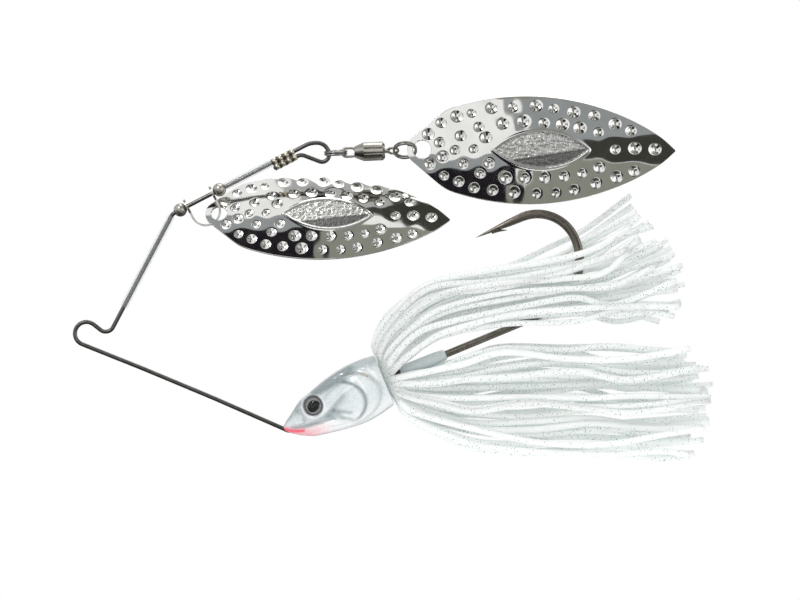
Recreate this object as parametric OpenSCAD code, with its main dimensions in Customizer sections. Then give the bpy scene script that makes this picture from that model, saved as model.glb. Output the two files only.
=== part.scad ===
// Double-bladed spinnerbait: a bent wire frame that carries a leaf-shaped blade on a
// clevis, a second blade on a swivel, and a weighted fish head with a hook and a skirt.
// Millimetres. Origin at the centre of the bend that takes the line, +X towards the
// tail, +Z towards the blades, Y across the lure. The frame lies in the plane Y = 0.

/* [Wire frame] */
// Diameter of the spring wire
wire_d = 0.9; // [0.8:0.05:0.95]
// Radius of the bend that takes the line, to the middle of the wire
tie_r = 2.45; // [2.3:0.05:2.6]
// Length of the straight leg that rises from the line bend to the blades
leg_len = 26.68; // [24:0.01:28]
// Length of the lower arm from the line bend to the nose of the head
lower_arm_len = 46.34; // [44:0.01:48]
// Outside diameter of the clear tubes on the wire
tube_d = 1.5; // [1.4:0.05:1.7]
// Diameter of the two beads
bead_d = 2.87; // [2.4:0.01:3.2]

/* [Blades] */
// Length of the rear blade
rear_blade_len = 57.1; // [50:0.1:60]
// Length of the front blade
front_blade_len = 52.0; // [46:0.1:54]
// Thickness of the blade metal
blade_t = 0.4; // [0.35:0.05:0.5]
// Lean of the front blade about its own length, in degrees
front_blade_lean = 30; // [29:1:32]

/* [Swivel] */
// Outside diameter of the swivel barrel
barrel_d = 4.0; // [3.6:0.1:4.4]
// Number of bearing balls
ball_count = 7; // [5, 6, 7]
// Diameter of the wire in the split rings
ring_wire = 0.5; // [0.45:0.05:0.5]

/* [Head, hook and skirt] */
// Angle of the hook shank above the X axis, in degrees
shank_angle = 22.5; // [20:0.5:25]
// Diameter of the hook wire
hook_d = 1.6; // [1.4:0.1:1.7]
// Diameter of the eyes of the fish head
eye_d = 4.1; // [3.6:0.1:4.4]
// Outside diameter of the rubber collar that holds the skirt
collar_d = 5.2; // [5.0:0.1:5.6]

/* [Hidden] */
$fn = 48;
gap = 0.05;                    // running clearance on a radius
big = 200;                     // side of a block that stands for half of space
arm_angle = 27.3;              // slope of the upper arm
leg_angle = 62.3;              // slope of the leg
tie_drop = 38;                 // slope of the wire as it leaves the line bend
lower_slope = 21.4;            // slope of the lower arm where it starts
lower_bow = 2.7;               // how far the lower arm turns along its length
crimp_start = 23.75;           // distances along the upper arm from its corner
crimp_len = 5.25;
barrel_gap = 1.25;             // between the two wires in the crimp
corner_r = 1.5;
corner_run = corner_r * tan((leg_angle - arm_angle) / 2);
tip_r = 2.55;                  // radii of the loop at the end of the upper arm
under_r = 1.49;
back_r = 1.9;
crown_r = 4.7;
under_turn = 110.7;
back_turn = 90 + under_turn - 180 + arm_angle;
// straight stretch that brings the loop's end back parallel to the arm, barrel_gap below
back_len = (crown_r * (1 - cos(arm_angle)) + 0.3 * sin(arm_angle)
    + tip_r * (cos(arm_angle) - cos(90 + arm_angle))
    + under_r * (cos(90 + arm_angle) - cos(180 + back_turn))
    - back_r * (1 + cos(180 + back_turn)) - barrel_gap) / sin(back_turn);
// each step of a bent wire: straight length, turn to the left in degrees, bend radius
upper_steps = [
    [1.87, leg_angle + tie_drop, 1.79],
    [leg_len, arm_angle - leg_angle, corner_r],
    [crimp_start + crimp_len - corner_run + 2.8, -arm_angle, crown_r],
    [0.3, -90, tip_r],
    [0, -under_turn, under_r],
    [back_len, back_turn, back_r],
    [crimp_len + 0.4, 0, 1]];
lower_r = lower_arm_len / 2 / sin(lower_bow / 2);
lower_steps = [
    [0, 180 + tie_drop - lower_slope, tie_r],
    [0, -lower_bow, lower_r],
    [1.2, lower_slope + lower_bow + shank_angle, 3],
    [7, 0, 1]];
// where a bent wire has got to after n steps: [x, z, heading]
function walk(pose, steps, n, i = 0) = i == n ? pose
    : walk(stride(pose, steps[i]), steps, n, i + 1);
function stride(p, s) = let (a = p[2], b = p[2] + s[1], k = s[1] < 0 ? -s[2] : s[2])
    [p[0] + s[0] * cos(a) + k * (sin(b) - sin(a)),
     p[1] + s[0] * sin(a) - k * (cos(b) - cos(a)), b];
// the poses [x, z, heading] that a bent wire goes through, close together in its bends
function poses(pose, steps, i = 0) = i == len(steps) ? [] : let (s = steps[i],
    n = max(ceil(abs(s[1]) / 9), abs(s[1]) > 0 ? 4 : 0)) concat(
    s[0] > 0 ? [stride(pose, [s[0], 0, 1])] : [],
    [for (k = [1 : 1 : n]) stride(pose, [s[0], s[1] * k / n, s[2]])],
    poses(stride(pose, s), steps, i + 1));
function thick(path, r) = [for (p = path) [p[0], p[1], p[2], r]];
function reversed(path) = [for (i = [len(path) - 1 : -1 : 0])
    [path[i][0], path[i][1], path[i][2] + 180]];
upper_start = [tie_r * cos(90 - tie_drop), tie_r * sin(90 - tie_drop), -tie_drop];
lower_start = [upper_start[0], upper_start[1], 180 - tie_drop];
leg_foot = walk(upper_start, upper_steps, 1);
tube_foot = 4.9;
corner_end = walk(upper_start, upper_steps, 2);
corner = [corner_end[0] - corner_run * cos(arm_angle), corner_end[1] - corner_run * sin(arm_angle)];
loop_tip = walk(upper_start, upper_steps, 4);

bead_half = sqrt(pow(bead_d / 2, 2) - pow(wire_d / 2 + gap, 2));
front_bead_at = corner_run + 0.05 + bead_half;
ear_t = 0.45;                  // clevis: thickness of the ears, half-width of the bow
bow_r = 3.05;
clevis_at = front_bead_at + bead_half + 0.05 + ear_t / 2 + bow_r;
rear_bead_at = clevis_at + bow_r + ear_t / 2 + 0.05 + bead_half;
upper_tube_at = rear_bead_at + bead_half + 0.1;
upper_tube_len = crimp_start - upper_tube_at - 0.1;
bow_drop = 2.65;
bow_w = 0.8;

// chain of the rear blade: distances along its own line from the loop's tip
chain_slope = 2.3;
chain_rise = 0.37;
chain_at = [loop_tip[0] - tip_r + sqrt(tip_r * tip_r - chain_rise * chain_rise), loop_tip[1] + chain_rise];
ring_r = 2.25;
front_ring_at = 1.45;
eye_hole = 0.675;
eye_wire = 0.6;
front_eye_at = front_ring_at + ring_r;
cone_at = front_eye_at + 1.76;
drum_at = cone_at + 1.95;
cap_at = drum_at + 4.0;
rear_eye_at = 13.81;
rear_ring_r = 2.35;
rear_pin_at = rear_eye_at + 2 * rear_ring_r;
rear_ring_turn = -38;          // how far the rear ring leans out of the flat
stem_r = 0.5;
ball_d = 0.6;
ball_orbit = 0.9;
ball_at = cap_at - 0.9;

// blades, at the rear blade's size: distances run from the widest station
leaf_len = 57.1;
leaf_half_w = 11.5;
leaf_reach = 32.3;             // from the widest station to where the two arcs would meet
leaf_tip = [30.5, 1.1];        // centre and radius of the small tip
leaf_end = [-22.1, 3.4];       // centre and radius of the end round the hole
leaf_neck = [-18.5, 7.6];      // where the arcs give way to the taper, and its half-width
leaf_hole = -22.3;
cup_along = 320;               // radii of the cupped metal along and across
cup_across = 45;
rear_hole_r = 1.95;
front_hole_r = 1.7;
front_hole = [28.2, 25.5];
front_blade_slope = -1.2;
rear_hole_at = rear_pin_at + rear_hole_r - ring_wire / 2 - 0.4;
rear_hole = [chain_at[0] + rear_hole_at * cos(chain_slope),
    chain_at[1] + rear_hole_at * sin(chain_slope)];

// head: distance along the shank line, height of the middle, half-height, half-width
head_at = [63.14, -9.92];
head_sections = [
    [-23.4, -1.45, 0.55, 0.6], [-22.4, -1.5, 1.45, 1.3], [-20.8, -1.5, 2.55, 2.3],
    [-18.2, -1.25, 4.05, 3.4], [-15.4, -1.1, 4.8, 4.2], [-11.8, -0.8, 5.65, 4.9],
    [-7.4, -0.55, 6.3, 5.25], [-3.2, -0.25, 6.2, 5.2], [0, 0, 5.65, 4.8]];
neck_r = 1.45;
neck_len = 14.3;
collar_at = 2.2;
collar_len = 1.8;
eye_at = [-15.8, 3.5, 0.73];
eye_yaw = 13;
eye_pitch = 10;
socket_deep = 0.7;
disc_t = 0.45;
dome_rise = 1.0;
// hook: shank from inside the head to the bend, then two quarter turns and the point
shank_from = -9.5;
shank_to = 37;
hook_steps = [[shank_to - shank_from, 90, 12.1], [0, 91.5, 8.67], [4.4, 0, 1]];
hook_eye_r = 1.3;
point_len = 6.1;
hook_end = walk([shank_from, 0, 0], hook_steps, 3);
// skirt: balls whose common skin is one lobe: along, across, up, radius
upper_lobe = [
    [5.5, 2.9, 4.2, 1.3], [3.4, 3.0, 9.0, 2.2], [8, 3.0, 11.4, 2.2], [62, 4.5, 11.3, 2.4],
    [66.5, 4.8, 0, 2.4], [60, 4.5, -7, 2.4], [20, 3, 0.5, 1.3]];
lower_lobe = [
    [6, 0, -4.2, 1.2], [4.6, 0, -8.6, 2.4], [8, 0, -13, 2.6], [36, 0, -29.5, 3.4],
    [54, 0, -37.5, 3.6], [58, 0, -25, 3.8], [53, 0, -15.5, 3.0], [22, 0, -4.2, 1.2]];

// Frames of reference ------------------------------------------------------------------

// drawing plane XY to the lure's plane XZ, placed at [x, z] and turned by a slope
module place(at, slope = 0) {
    translate([at[0], 0, at[1]]) rotate([0, -slope, 0]) children();
}

// children drawn along +X, moved to a distance along the upper arm from its corner
module on_arm(along) { place(corner, arm_angle) translate([along, 0, 0]) children(); }

// children drawn along +X, moved to a distance along the rear blade's chain
module on_chain(along) { place(chain_at, chain_slope) translate([along, 0, 0]) children(); }

// children drawn along +X, on the line of the hook shank with 0 at the head's back
module on_shank() { place(head_at, shank_angle) children(); }

// Shared shapes --------------------------------------------------------------------------

module rod(d, len) { rotate([0, 90, 0]) cylinder(d = d, h = len); }

module pipe(d, bore, len) {
    difference() {
        rod(d, len);
        translate([-1, 0, 0]) rod(bore, len + 2);
    }
}

// solid swept along stations [x, z, heading, radius] in the lure's plane
module swept(path, sides) {
    rings = [for (p = path) for (k = [0 : sides - 1]) let (a = 360 * k / sides)
        [p[0] - p[3] * cos(a) * sin(p[2]), p[3] * sin(a), p[1] + p[3] * cos(a) * cos(p[2])]];
    last = (len(path) - 1) * sides;
    skin = [for (i = [0 : len(path) - 2]) for (k = [0 : sides - 1])
        let (a = i * sides + k, b = i * sides + (k + 1) % sides) [a, b, b + sides, a + sides]];
    polyhedron(points = rings, faces = concat(skin, [[for (k = [sides - 1 : -1 : 0]) k]],
        [[for (k = [0 : sides - 1]) last + k]]), convexity = 8);
}

// bead turned on its bore, centred on the origin, bore along X
module bead() {
    difference() {
        sphere(d = bead_d);
        translate([-bead_d, 0, 0]) rod(wire_d + 2 * gap, 2 * bead_d);
    }
}

// closed eye in the XY plane: a slot from x = 0 to the given length, with the wire round it
module wire_eye(slot) {
    difference() {
        union() {
            for (x = [0, slot]) translate([x, 0, -eye_wire / 2])
                cylinder(r = eye_hole + eye_wire, h = eye_wire);
            translate([0, -eye_hole - eye_wire, -eye_wire / 2])
                cube([slot, 2 * (eye_hole + eye_wire), eye_wire]);
        }
        for (x = [0, slot]) translate([x, 0, -1]) cylinder(r = eye_hole, h = 2);
        translate([0, -eye_hole, -1]) cube([slot, 2 * eye_hole, 2]);
    }
}

// split ring: two close coils as one section, ring lying in the XY plane
module split_ring(radius) {
    rotate_extrude($fn = 64) translate([radius, 0]) {
        for (z = [-1, 1]) translate([0, z * ring_wire / 2]) circle(d = ring_wire, $fn = 24);
        square([ring_wire, ring_wire], center = true);
    }
}

// willow leaf in the XY plane, widest at x = 0, hole end towards minus X
module leaf_outline() {
    radius = (leaf_reach * leaf_reach + leaf_half_w * leaf_half_w) / (2 * leaf_half_w);
    intersection() {
        translate([0, radius - leaf_half_w]) circle(r = radius, $fn = 180);
        translate([0, leaf_half_w - radius]) circle(r = radius, $fn = 180);
        translate([leaf_neck[0], -leaf_half_w]) square([leaf_tip[0] - leaf_neck[0], 2 * leaf_half_w]);
    }
    translate([leaf_tip[0], 0]) circle(r = leaf_tip[1], $fn = 24);
    translate([leaf_end[0], 0]) circle(r = leaf_end[1]);
    polygon([[leaf_neck[0] + 0.1, -leaf_neck[1]], [leaf_neck[0] + 0.1, leaf_neck[1]],
        [leaf_end[0] - 2.2, 2.59], [leaf_end[0] - 2.2, -2.59]]);
}

// cupped skin: a strip of a large circle turned about a line along X, its middle at z = 0
// over the hole
module cupped_skin(t) {
    crown = cup_along - sqrt(cup_along * cup_along - leaf_hole * leaf_hole);
    translate([0, 0, crown + t / 2 - cup_across]) rotate([0, 90, 0]) rotate_extrude($fn = 180)
        intersection() {
            translate([cup_across - cup_along, 0]) difference() {
                circle(r = cup_along, $fn = 1440);
                circle(r = cup_along - t, $fn = 1440);
            }
            translate([1, -leaf_len * 0.6]) square([cup_across, leaf_len * 1.2]);
        }
}

// one blade with its hole at the origin and its length along X, hollow side at minus Z
module blade(len, hole_r) {
    size = len / leaf_len;
    difference() {
        scale(size) translate([-leaf_hole, 0, 0]) intersection() {
            translate([0, 0, -4]) linear_extrude(10) leaf_outline();
            cupped_skin(blade_t / size);
        }
        translate([0, 0, -3]) cylinder(r = hole_r, h = 6);
    }
}

// Wire frame and what turns on it ----------------------------------------------------------

// spring wire: both arms, the line bend between them and the loop at the end
module frame_wire() {
    color([0.16, 0.16, 0.17]) swept(thick(concat(reversed(poses(lower_start, lower_steps)),
        [upper_start], poses(upper_start, upper_steps)), wire_d / 2), 16);
}

// clear tube on the leg
module lower_tube() {
    color([0.88, 0.94, 0.94, 0.5]) place(leg_foot, leg_angle)
        translate([tube_foot, 0, 0]) pipe(tube_d, wire_d + 2 * gap, leg_len - tube_foot - 0.05);
}

// bead at the corner
module front_bead() { color([0.62, 0.6, 0.55]) on_arm(front_bead_at) bead(); }

// bead behind the clevis
module rear_bead() { color([0.62, 0.6, 0.55]) on_arm(rear_bead_at) bead(); }

// clear tube that keeps the rear bead off the crimp
module upper_tube() {
    color([0.88, 0.94, 0.94, 0.5]) on_arm(upper_tube_at)
        pipe(tube_d, wire_d + 2 * gap, upper_tube_len);
}

// clevis: a strip bent round below the wire, with a drilled ear at each end
module clevis() {
    color([0.72, 0.72, 0.7]) on_arm(clevis_at) {
        for (side = [-1, 1]) translate([side * bow_r - ear_t / 2, 0, 0]) difference() {
            union() {
                rod(3.2, ear_t);
                translate([0, -bow_w / 2, -bow_drop]) cube([ear_t, bow_w, bow_drop]);
            }
            translate([-1, 0, 0]) rod(wire_d + 2 * gap, 3);
        }
        translate([0, 0, -bow_drop]) rotate([90, 0, 0]) rotate([0, 0, 180])
            rotate_extrude(angle = 180, $fn = 64)
                translate([bow_r, 0]) square([ear_t, bow_w], center = true);
    }
}

// front blade, hung in the clevis through its hole
module front_blade() {
    color([0.78, 0.78, 0.76]) place(front_hole, front_blade_slope)
        rotate([-front_blade_lean, 0, 0]) rotate([90, 0, 0]) blade(front_blade_len, front_hole_r);
}

// double sleeve that grips the arm and the loop's end side by side
module crimp_sleeve() {
    color([0.8, 0.77, 0.7]) on_arm(crimp_start) difference() {
        union() {
            for (row = [0, 1]) translate([0, 0, -row * barrel_gap]) {
                rod(1.36, crimp_len);
                for (i = [1 : 3]) translate([i * crimp_len / 4 - 0.15, 0, 0]) rod(1.5, 0.3);
            }
            translate([0, -0.45, -barrel_gap]) cube([crimp_len, 0.9, barrel_gap]);
        }
        for (row = [0, 1]) translate([-1, 0, -row * barrel_gap])
            rod(wire_d + gap, crimp_len + 2);
    }
}

// Chain of the rear blade -------------------------------------------------------------------

// ring through the wire loop
module front_split_ring() {
    color([0.6, 0.6, 0.58]) on_chain(front_ring_at) split_ring(ring_r);
}

// eye and stem fixed in the barrel's cone
module swivel_front_eye() {
    color([0.66, 0.66, 0.63]) on_chain(front_eye_at) difference() {
        union() {
            rotate([90, 0, 0]) wire_eye(1.1);
            translate([1.1 + eye_hole + 0.2, 0, 0]) rod(2 * stem_r, 1.9);
        }
        rotate([90, 0, 0]) translate([1.1, 0, -1]) cylinder(r = eye_hole, h = 2);
    }
}

// hollow drum with a coned nose
module swivel_barrel() {
    color([0.75, 0.75, 0.72]) on_chain(cone_at) rotate([0, 90, 0]) difference() {
        union() {
            cylinder(d1 = 0.6 * barrel_d, d2 = barrel_d, h = drum_at - cone_at);
            translate([0, 0, drum_at - cone_at]) cylinder(d = barrel_d, h = cap_at - drum_at);
        }
        translate([0, 0, 2.4]) cylinder(d = barrel_d - 1, h = 10);
        translate([0, 0, -1]) cylinder(r = stem_r, h = 5);
    }
}

// ring pressed into the drum's mouth, with a running hole for the stem
module swivel_end_cap() {
    color([0.7, 0.7, 0.68]) on_chain(cap_at) rotate([0, 90, 0]) difference() {
        union() {
            translate([0, 0, -0.5]) cylinder(d = barrel_d - 1, h = 0.5);
            cylinder(d1 = barrel_d, d2 = 0.75 * barrel_d, h = 0.5);
        }
        translate([0, 0, -1]) cylinder(r = stem_r + gap, h = 3);
    }
}

// balls between the stem's head and the cap
module swivel_balls() {
    color([0.8, 0.8, 0.8]) on_chain(ball_at)
        for (i = [0 : ball_count - 1]) rotate([i * 360 / ball_count, 0, 0])
            translate([0, 0, ball_orbit]) sphere(d = ball_d, $fn = 24);
}

// turning eye: head inside the drum, stem, and an eye across the rear ring
module swivel_rear_eye() {
    color([0.66, 0.66, 0.63]) on_chain(rear_eye_at) rotate([rear_ring_turn, 0, 0])
        difference() {
            union() {
                rotate([-90, 0, 0]) translate([-0.3, 0, 0]) wire_eye(0.3);
                translate([ball_at - ball_d / 2 - gap - 0.5 - rear_eye_at, 0, 0]) {
                    rod(2.4, 0.5);
                    rod(2 * stem_r, rear_eye_at - 1.1 - (ball_at - ball_d / 2 - gap - 0.5));
                }
            }
            rotate([-90, 0, 0]) translate([-0.3, 0, -1]) cylinder(r = eye_hole, h = 2);
        }
}

// ring between the swivel and the rear blade, leaning out of the flat
module rear_split_ring() {
    color([0.6, 0.6, 0.58]) on_chain(rear_eye_at + rear_ring_r) rotate([rear_ring_turn, 0, 0])
        split_ring(rear_ring_r);
}

// rear blade, hung on its ring
module rear_blade() {
    color([0.78, 0.78, 0.76]) place(rear_hole, -0.3)
        rotate([90, 0, 0]) blade(rear_blade_len, rear_hole_r);
}

// Head, hook and skirt ----------------------------------------------------------------------

module head_skin() {
    hull() for (part = head_sections) translate([part[0], 0, part[1]])
        rotate([0, 90, 0]) scale([part[2], part[3], 1]) cylinder(r = 1, h = 0.02, center = true);
}

// places an eye on one side of the head, drawn along +Z from the skin; side is 1 or -1 in Y
module eye_seat(side) {
    on_shank() translate([eye_at[0], side * eye_at[1], eye_at[2]])
        rotate([-side * (90 - eye_pitch), 0, side * eye_yaw]) children();
}

// weighted fish head cast round the hook, with the neck that takes the skirt collar
module head_casting() {
    color([0.86, 0.89, 0.91]) difference() {
        on_shank() {
            head_skin();
            translate([-1, 0, 0]) rod(2 * neck_r, neck_len - 1.4);
            translate([neck_len - 2.4, 0, 0]) rotate([0, 90, 0])
                cylinder(r1 = neck_r + 0.25, r2 = 1.05, h = 2.4);
        }
        for (side = [-1, 1]) eye_seat(side) translate([0, 0, -socket_deep])
            cylinder(d = eye_d, h = 4);
        on_shank() translate([shank_from, 0, 0]) rod(hook_d, 40);
    }
}

module eye_disc(side) {
    eye_seat(side) translate([0, 0, -socket_deep])
        cylinder(d = eye_d - 0.1, h = disc_t, $fn = 96);
}

module eye_dome(side) {
    radius = (pow(eye_d / 2 - 0.05, 2) + dome_rise * dome_rise) / (2 * dome_rise);
    eye_seat(side) translate([0, 0, disc_t - socket_deep]) intersection() {
        translate([0, 0, dome_rise - radius]) sphere(r = radius, $fn = 64);
        cylinder(r = eye_d, h = 2 * dome_rise);
    }
}

// painted discs and clear domes of the eyes on the near side, minus Y, and the far side
module near_eye_disc() { color([0.1, 0.1, 0.12]) eye_disc(-1); }
module near_eye_dome() { color([0.9, 0.9, 0.95, 0.4]) eye_dome(-1); }
module far_eye_disc() { color([0.1, 0.1, 0.12]) eye_disc(1); }
module far_eye_dome() { color([0.9, 0.9, 0.95, 0.4]) eye_dome(1); }

// forged hook: eye and shank in the head, round bend, barbed point
module hook() {
    tip = stride(hook_end, [point_len, 0, 1]);
    color([0.2, 0.19, 0.18]) on_shank() {
        translate([shank_from - hook_eye_r, 0, 0]) rotate([90, 0, 0])
            rotate_extrude() translate([hook_eye_r, 0]) circle(d = 1.1, $fn = 32);
        swept(concat([[shank_from - 0.4, 0, 0, hook_d / 2]],
            thick(poses([shank_from, 0, 0], hook_steps), hook_d / 2),
            [[tip[0], tip[1], tip[2], 0.08]]), 16);
        translate([hook_end[0], 0, hook_end[1]]) rotate([0, -hook_end[2], 0]) barb();
    }
}

// small spur cut up from the inside of the point
module barb() {
    rotate([90, 0, 0]) translate([0, 0, -0.25]) linear_extrude(0.5)
        polygon([[0.3, 0.4], [2.4, 0.2], [2.4, 0], [0.9, 0.1], [-0.9, 1.15]]);
}

// rubber band that holds the skirt on the neck
module skirt_collar() {
    color([0.06, 0.06, 0.06]) on_shank() translate([collar_at, 0, 0])
        pipe(collar_d, 2 * neck_r, collar_len);
}

// common skin of the balls of a lobe
module lobe(balls, side = 1) {
    hull() for (ball = balls) translate([ball[0], side * ball[1], ball[2]])
        sphere(r = ball[3], $fn = 20);
}

// upper half of the skirt on one side of the hook
module upper_half(side) {
    on_shank() intersection() {
        lobe(upper_lobe, side);
        translate([0, side > 0 ? hook_d / 2 + 0.4 : -big - hook_d / 2 - 0.4, -big / 2])
            cube(big);
    }
}

module skirt_upper_near() { color([0.93, 0.95, 0.95]) upper_half(-1); }
module skirt_upper_far() { color([0.93, 0.95, 0.95]) upper_half(1); }

// lower half of the skirt, below the shank
module skirt_lower() {
    color([0.93, 0.95, 0.95]) on_shank() hull() for (ball = lower_lobe) for (side = [-1, 1])
        translate([ball[0], side * ball[0] * 0.06, ball[2]]) sphere(r = ball[3], $fn = 20);
}

frame_wire();
lower_tube();
front_bead();
clevis();
front_blade();
rear_bead();
upper_tube();
crimp_sleeve();
front_split_ring();
swivel_front_eye();
swivel_barrel();
swivel_end_cap();
swivel_balls();
swivel_rear_eye();
rear_split_ring();
rear_blade();
head_casting();
near_eye_disc();
near_eye_dome();
far_eye_disc();
far_eye_dome();
hook();
skirt_collar();
skirt_upper_near();
skirt_upper_far();
skirt_lower();
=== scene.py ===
"""Double-bladed spinnerbait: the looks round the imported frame, as a Blender add-on.

Drawings are in millimetres in the frame of one part, as in the CAD source, and are placed
in metres in the lure's own frame: +X towards the tail, +Z towards the blades, Y across.
"""

import math

import bmesh
import bpy
import numpy as np
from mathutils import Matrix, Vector


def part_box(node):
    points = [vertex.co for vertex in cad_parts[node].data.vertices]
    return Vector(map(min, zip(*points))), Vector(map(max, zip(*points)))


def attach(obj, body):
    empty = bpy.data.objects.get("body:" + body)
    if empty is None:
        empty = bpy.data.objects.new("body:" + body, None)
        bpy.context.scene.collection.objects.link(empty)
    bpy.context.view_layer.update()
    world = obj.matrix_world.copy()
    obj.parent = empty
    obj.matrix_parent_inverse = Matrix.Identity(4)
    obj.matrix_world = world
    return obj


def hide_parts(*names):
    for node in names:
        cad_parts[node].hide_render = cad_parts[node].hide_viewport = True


bl_info = {
    "name": "Spinnerbait",
    "version": (1, 0, 0),
    "blender": (4, 5, 0),
    "location": "View3D > Sidebar > Spinnerbait",
    "description": "Builds a double-bladed spinnerbait piece by piece",
    "category": "Add Mesh",
}

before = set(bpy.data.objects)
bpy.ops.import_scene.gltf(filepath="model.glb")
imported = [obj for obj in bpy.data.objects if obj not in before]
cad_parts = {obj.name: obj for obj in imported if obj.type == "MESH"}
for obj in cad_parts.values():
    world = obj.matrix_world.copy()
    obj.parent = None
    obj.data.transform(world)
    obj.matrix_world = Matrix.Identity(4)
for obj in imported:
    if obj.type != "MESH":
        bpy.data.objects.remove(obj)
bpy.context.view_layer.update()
MM = 0.001
RAD = math.pi / 180

# Slopes of the wire's arms, the hook's shank and the swivel chain, degrees
ARM_ANGLE = 27.3
LEG_ANGLE = 62.3
TIE_DROP = 38.0
SHANK_ANGLE = 22.5
CHAIN_SLOPE = 2.3
# Turns of the rear ring and the front blade about their own length, degrees
RING_LEAN = -38.0
BLADE_LEAN = 30.0
# Where the head meets the skirt, the end loop's tip and the blades' holes, (x, z) in mm
HEAD_AT = (63.14, -9.92)
CHAIN_AT = (51.527, 38.327)
REAR_HOLE = (71.321, 39.122)
FRONT_HOLE = (28.2, 25.5)


# Settings ---------------------------------------------------------------------------------


def size_prop(name, description, default, low, high):
    return bpy.props.FloatProperty(name=name, description=description, default=default,
                                   min=low, max=high, unit="LENGTH", subtype="DISTANCE")


def colour_prop(name, description, default):
    return bpy.props.FloatVectorProperty(name=name, description=description,
                                         default=default, min=0, max=1, size=3,
                                         subtype="COLOR")


class SpinnerbaitMetal(bpy.types.PropertyGroup):
    """Sizes and colours of the metal pieces."""

    wire: size_prop("Wire", "Diameter of the frame wire", 0.9 * MM, 0.5 * MM, 1.5 * MM)
    hook: size_prop("Hook wire", "Diameter of the hook shank", 1.5 * MM, 1 * MM, 2 * MM)
    ring: size_prop("Ring wire", "Width of the split-ring wire", 0.5 * MM, 0.3 * MM, 0.7 * MM)
    dimple: size_prop("Dimple", "Radius of a blade's dimples", 1.26 * MM, 0.5 * MM, 2 * MM)
    dent: size_prop("Dent", "Depth of a blade's dimples", 0.29 * MM, 0, 1 * MM)
    nickel: colour_prop("Nickel", "Colour of the plated blades", (0.80, 0.795, 0.77))
    dark: colour_prop("Black nickel", "Colour of the wire frame", (0.16, 0.155, 0.15))
    bronze: colour_prop("Hook", "Colour of the hook", (0.20, 0.18, 0.155))


class SpinnerbaitHead(bpy.types.PropertyGroup):
    """Colours of the painted head."""

    pearl: colour_prop("Pearl", "Colour of the flanks", (0.76, 0.82, 0.835))
    # The back colour is also the colour of the painted shade in the head's folds
    back: colour_prop("Back", "Colour of the forehead", (0.30, 0.36, 0.375))
    throat: colour_prop("Throat", "Colour under the jaw", (0.95, 0.13, 0.20))


class SpinnerbaitSkirt(bpy.types.PropertyGroup):
    """The silicone skirt."""

    upper: bpy.props.IntProperty(name="Upper strands", description="Strands on each side "
                                 "of the hook", default=23, min=5, max=40)
    lower: bpy.props.IntProperty(name="Lower strands", description="Strands below the "
                                 "shank", default=44, min=5, max=80)
    width: size_prop("Strand", "Width of a strand", 1.38 * MM, 0.5 * MM, 2 * MM)
    silicone: colour_prop("Silicone", "Colour of the strands", (0.90, 0.935, 0.92))


# Geometry -----------------------------------------------------------------------------------


def placed(points, at=(0, 0), slope=0.0):
    """Points whose X runs up a slope, turned about Y and moved to at = (x, z), in metres."""
    x, y, z = np.moveaxis(np.asarray(points, float), -1, 0)
    c, s = math.cos(slope * RAD), math.sin(slope * RAD)
    return MM * np.stack([at[0] + x * c - z * s, y, at[1] + x * s + z * c], -1)


def leaned(points, degrees):
    """Points turned about their own X axis, mm."""
    x, y, z = np.moveaxis(points, -1, 0)
    c, s = math.cos(degrees * RAD), math.sin(degrees * RAD)
    return np.stack([x, y * c - z * s, y * s + z * c], -1)


def new_object(name, verts, faces, smooth=True):
    """A mesh object at the origin from points in metres and lists of corners."""
    mesh = bpy.data.meshes.new(name)
    mesh.from_pydata(np.asarray(verts, float).reshape(-1, 3).tolist(), [], faces)
    mesh.validate()
    mesh.shade_smooth() if smooth else mesh.shade_flat()
    obj = bpy.data.objects.new(name, mesh)
    bpy.context.scene.collection.objects.link(obj)
    return obj


def quads(rows, cols, wrap_cols=False, start=0):
    """Quads of a rows by cols grid of vertices, the last column joined to the first if
    wrap_cols."""
    i = np.arange(rows - 1)[:, None]
    j = np.arange(cols if wrap_cols else cols - 1)[None, :]
    k = (j + 1) % cols
    a, b = i * cols + j, i * cols + k
    return (start + np.stack([a, b, b + cols, a + cols], -1)).reshape(-1, 4)


def tubes(name, points):
    """Closed tubes from an array (tube, ring, side, xyz) in metres: each ring joined to
    the next, and the first and last rings closed by flat caps."""
    k, rings, sides = points.shape[:3]
    one = quads(rings, sides, True)
    size = rings * sides
    faces = (one[None] + (np.arange(k) * size)[:, None, None]).reshape(-1, 4).tolist()
    first = (np.arange(k) * size)[:, None] + np.arange(sides)[None, ::-1]
    last = (np.arange(k) * size)[:, None] + size - sides + np.arange(sides)[None]
    obj = new_object(name, points, faces + first.tolist() + last.tolist())
    settle_normals(obj)
    return obj


def settle_normals(obj, merge=0.0):
    """Merges doubles within a distance in metres and turns the faces outwards."""
    bm = bmesh.new()
    bm.from_mesh(obj.data)
    if merge:
        bmesh.ops.remove_doubles(bm, verts=bm.verts, dist=merge)
    bmesh.ops.recalc_face_normals(bm, faces=bm.faces)
    bm.to_mesh(obj.data)
    bm.free()


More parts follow.
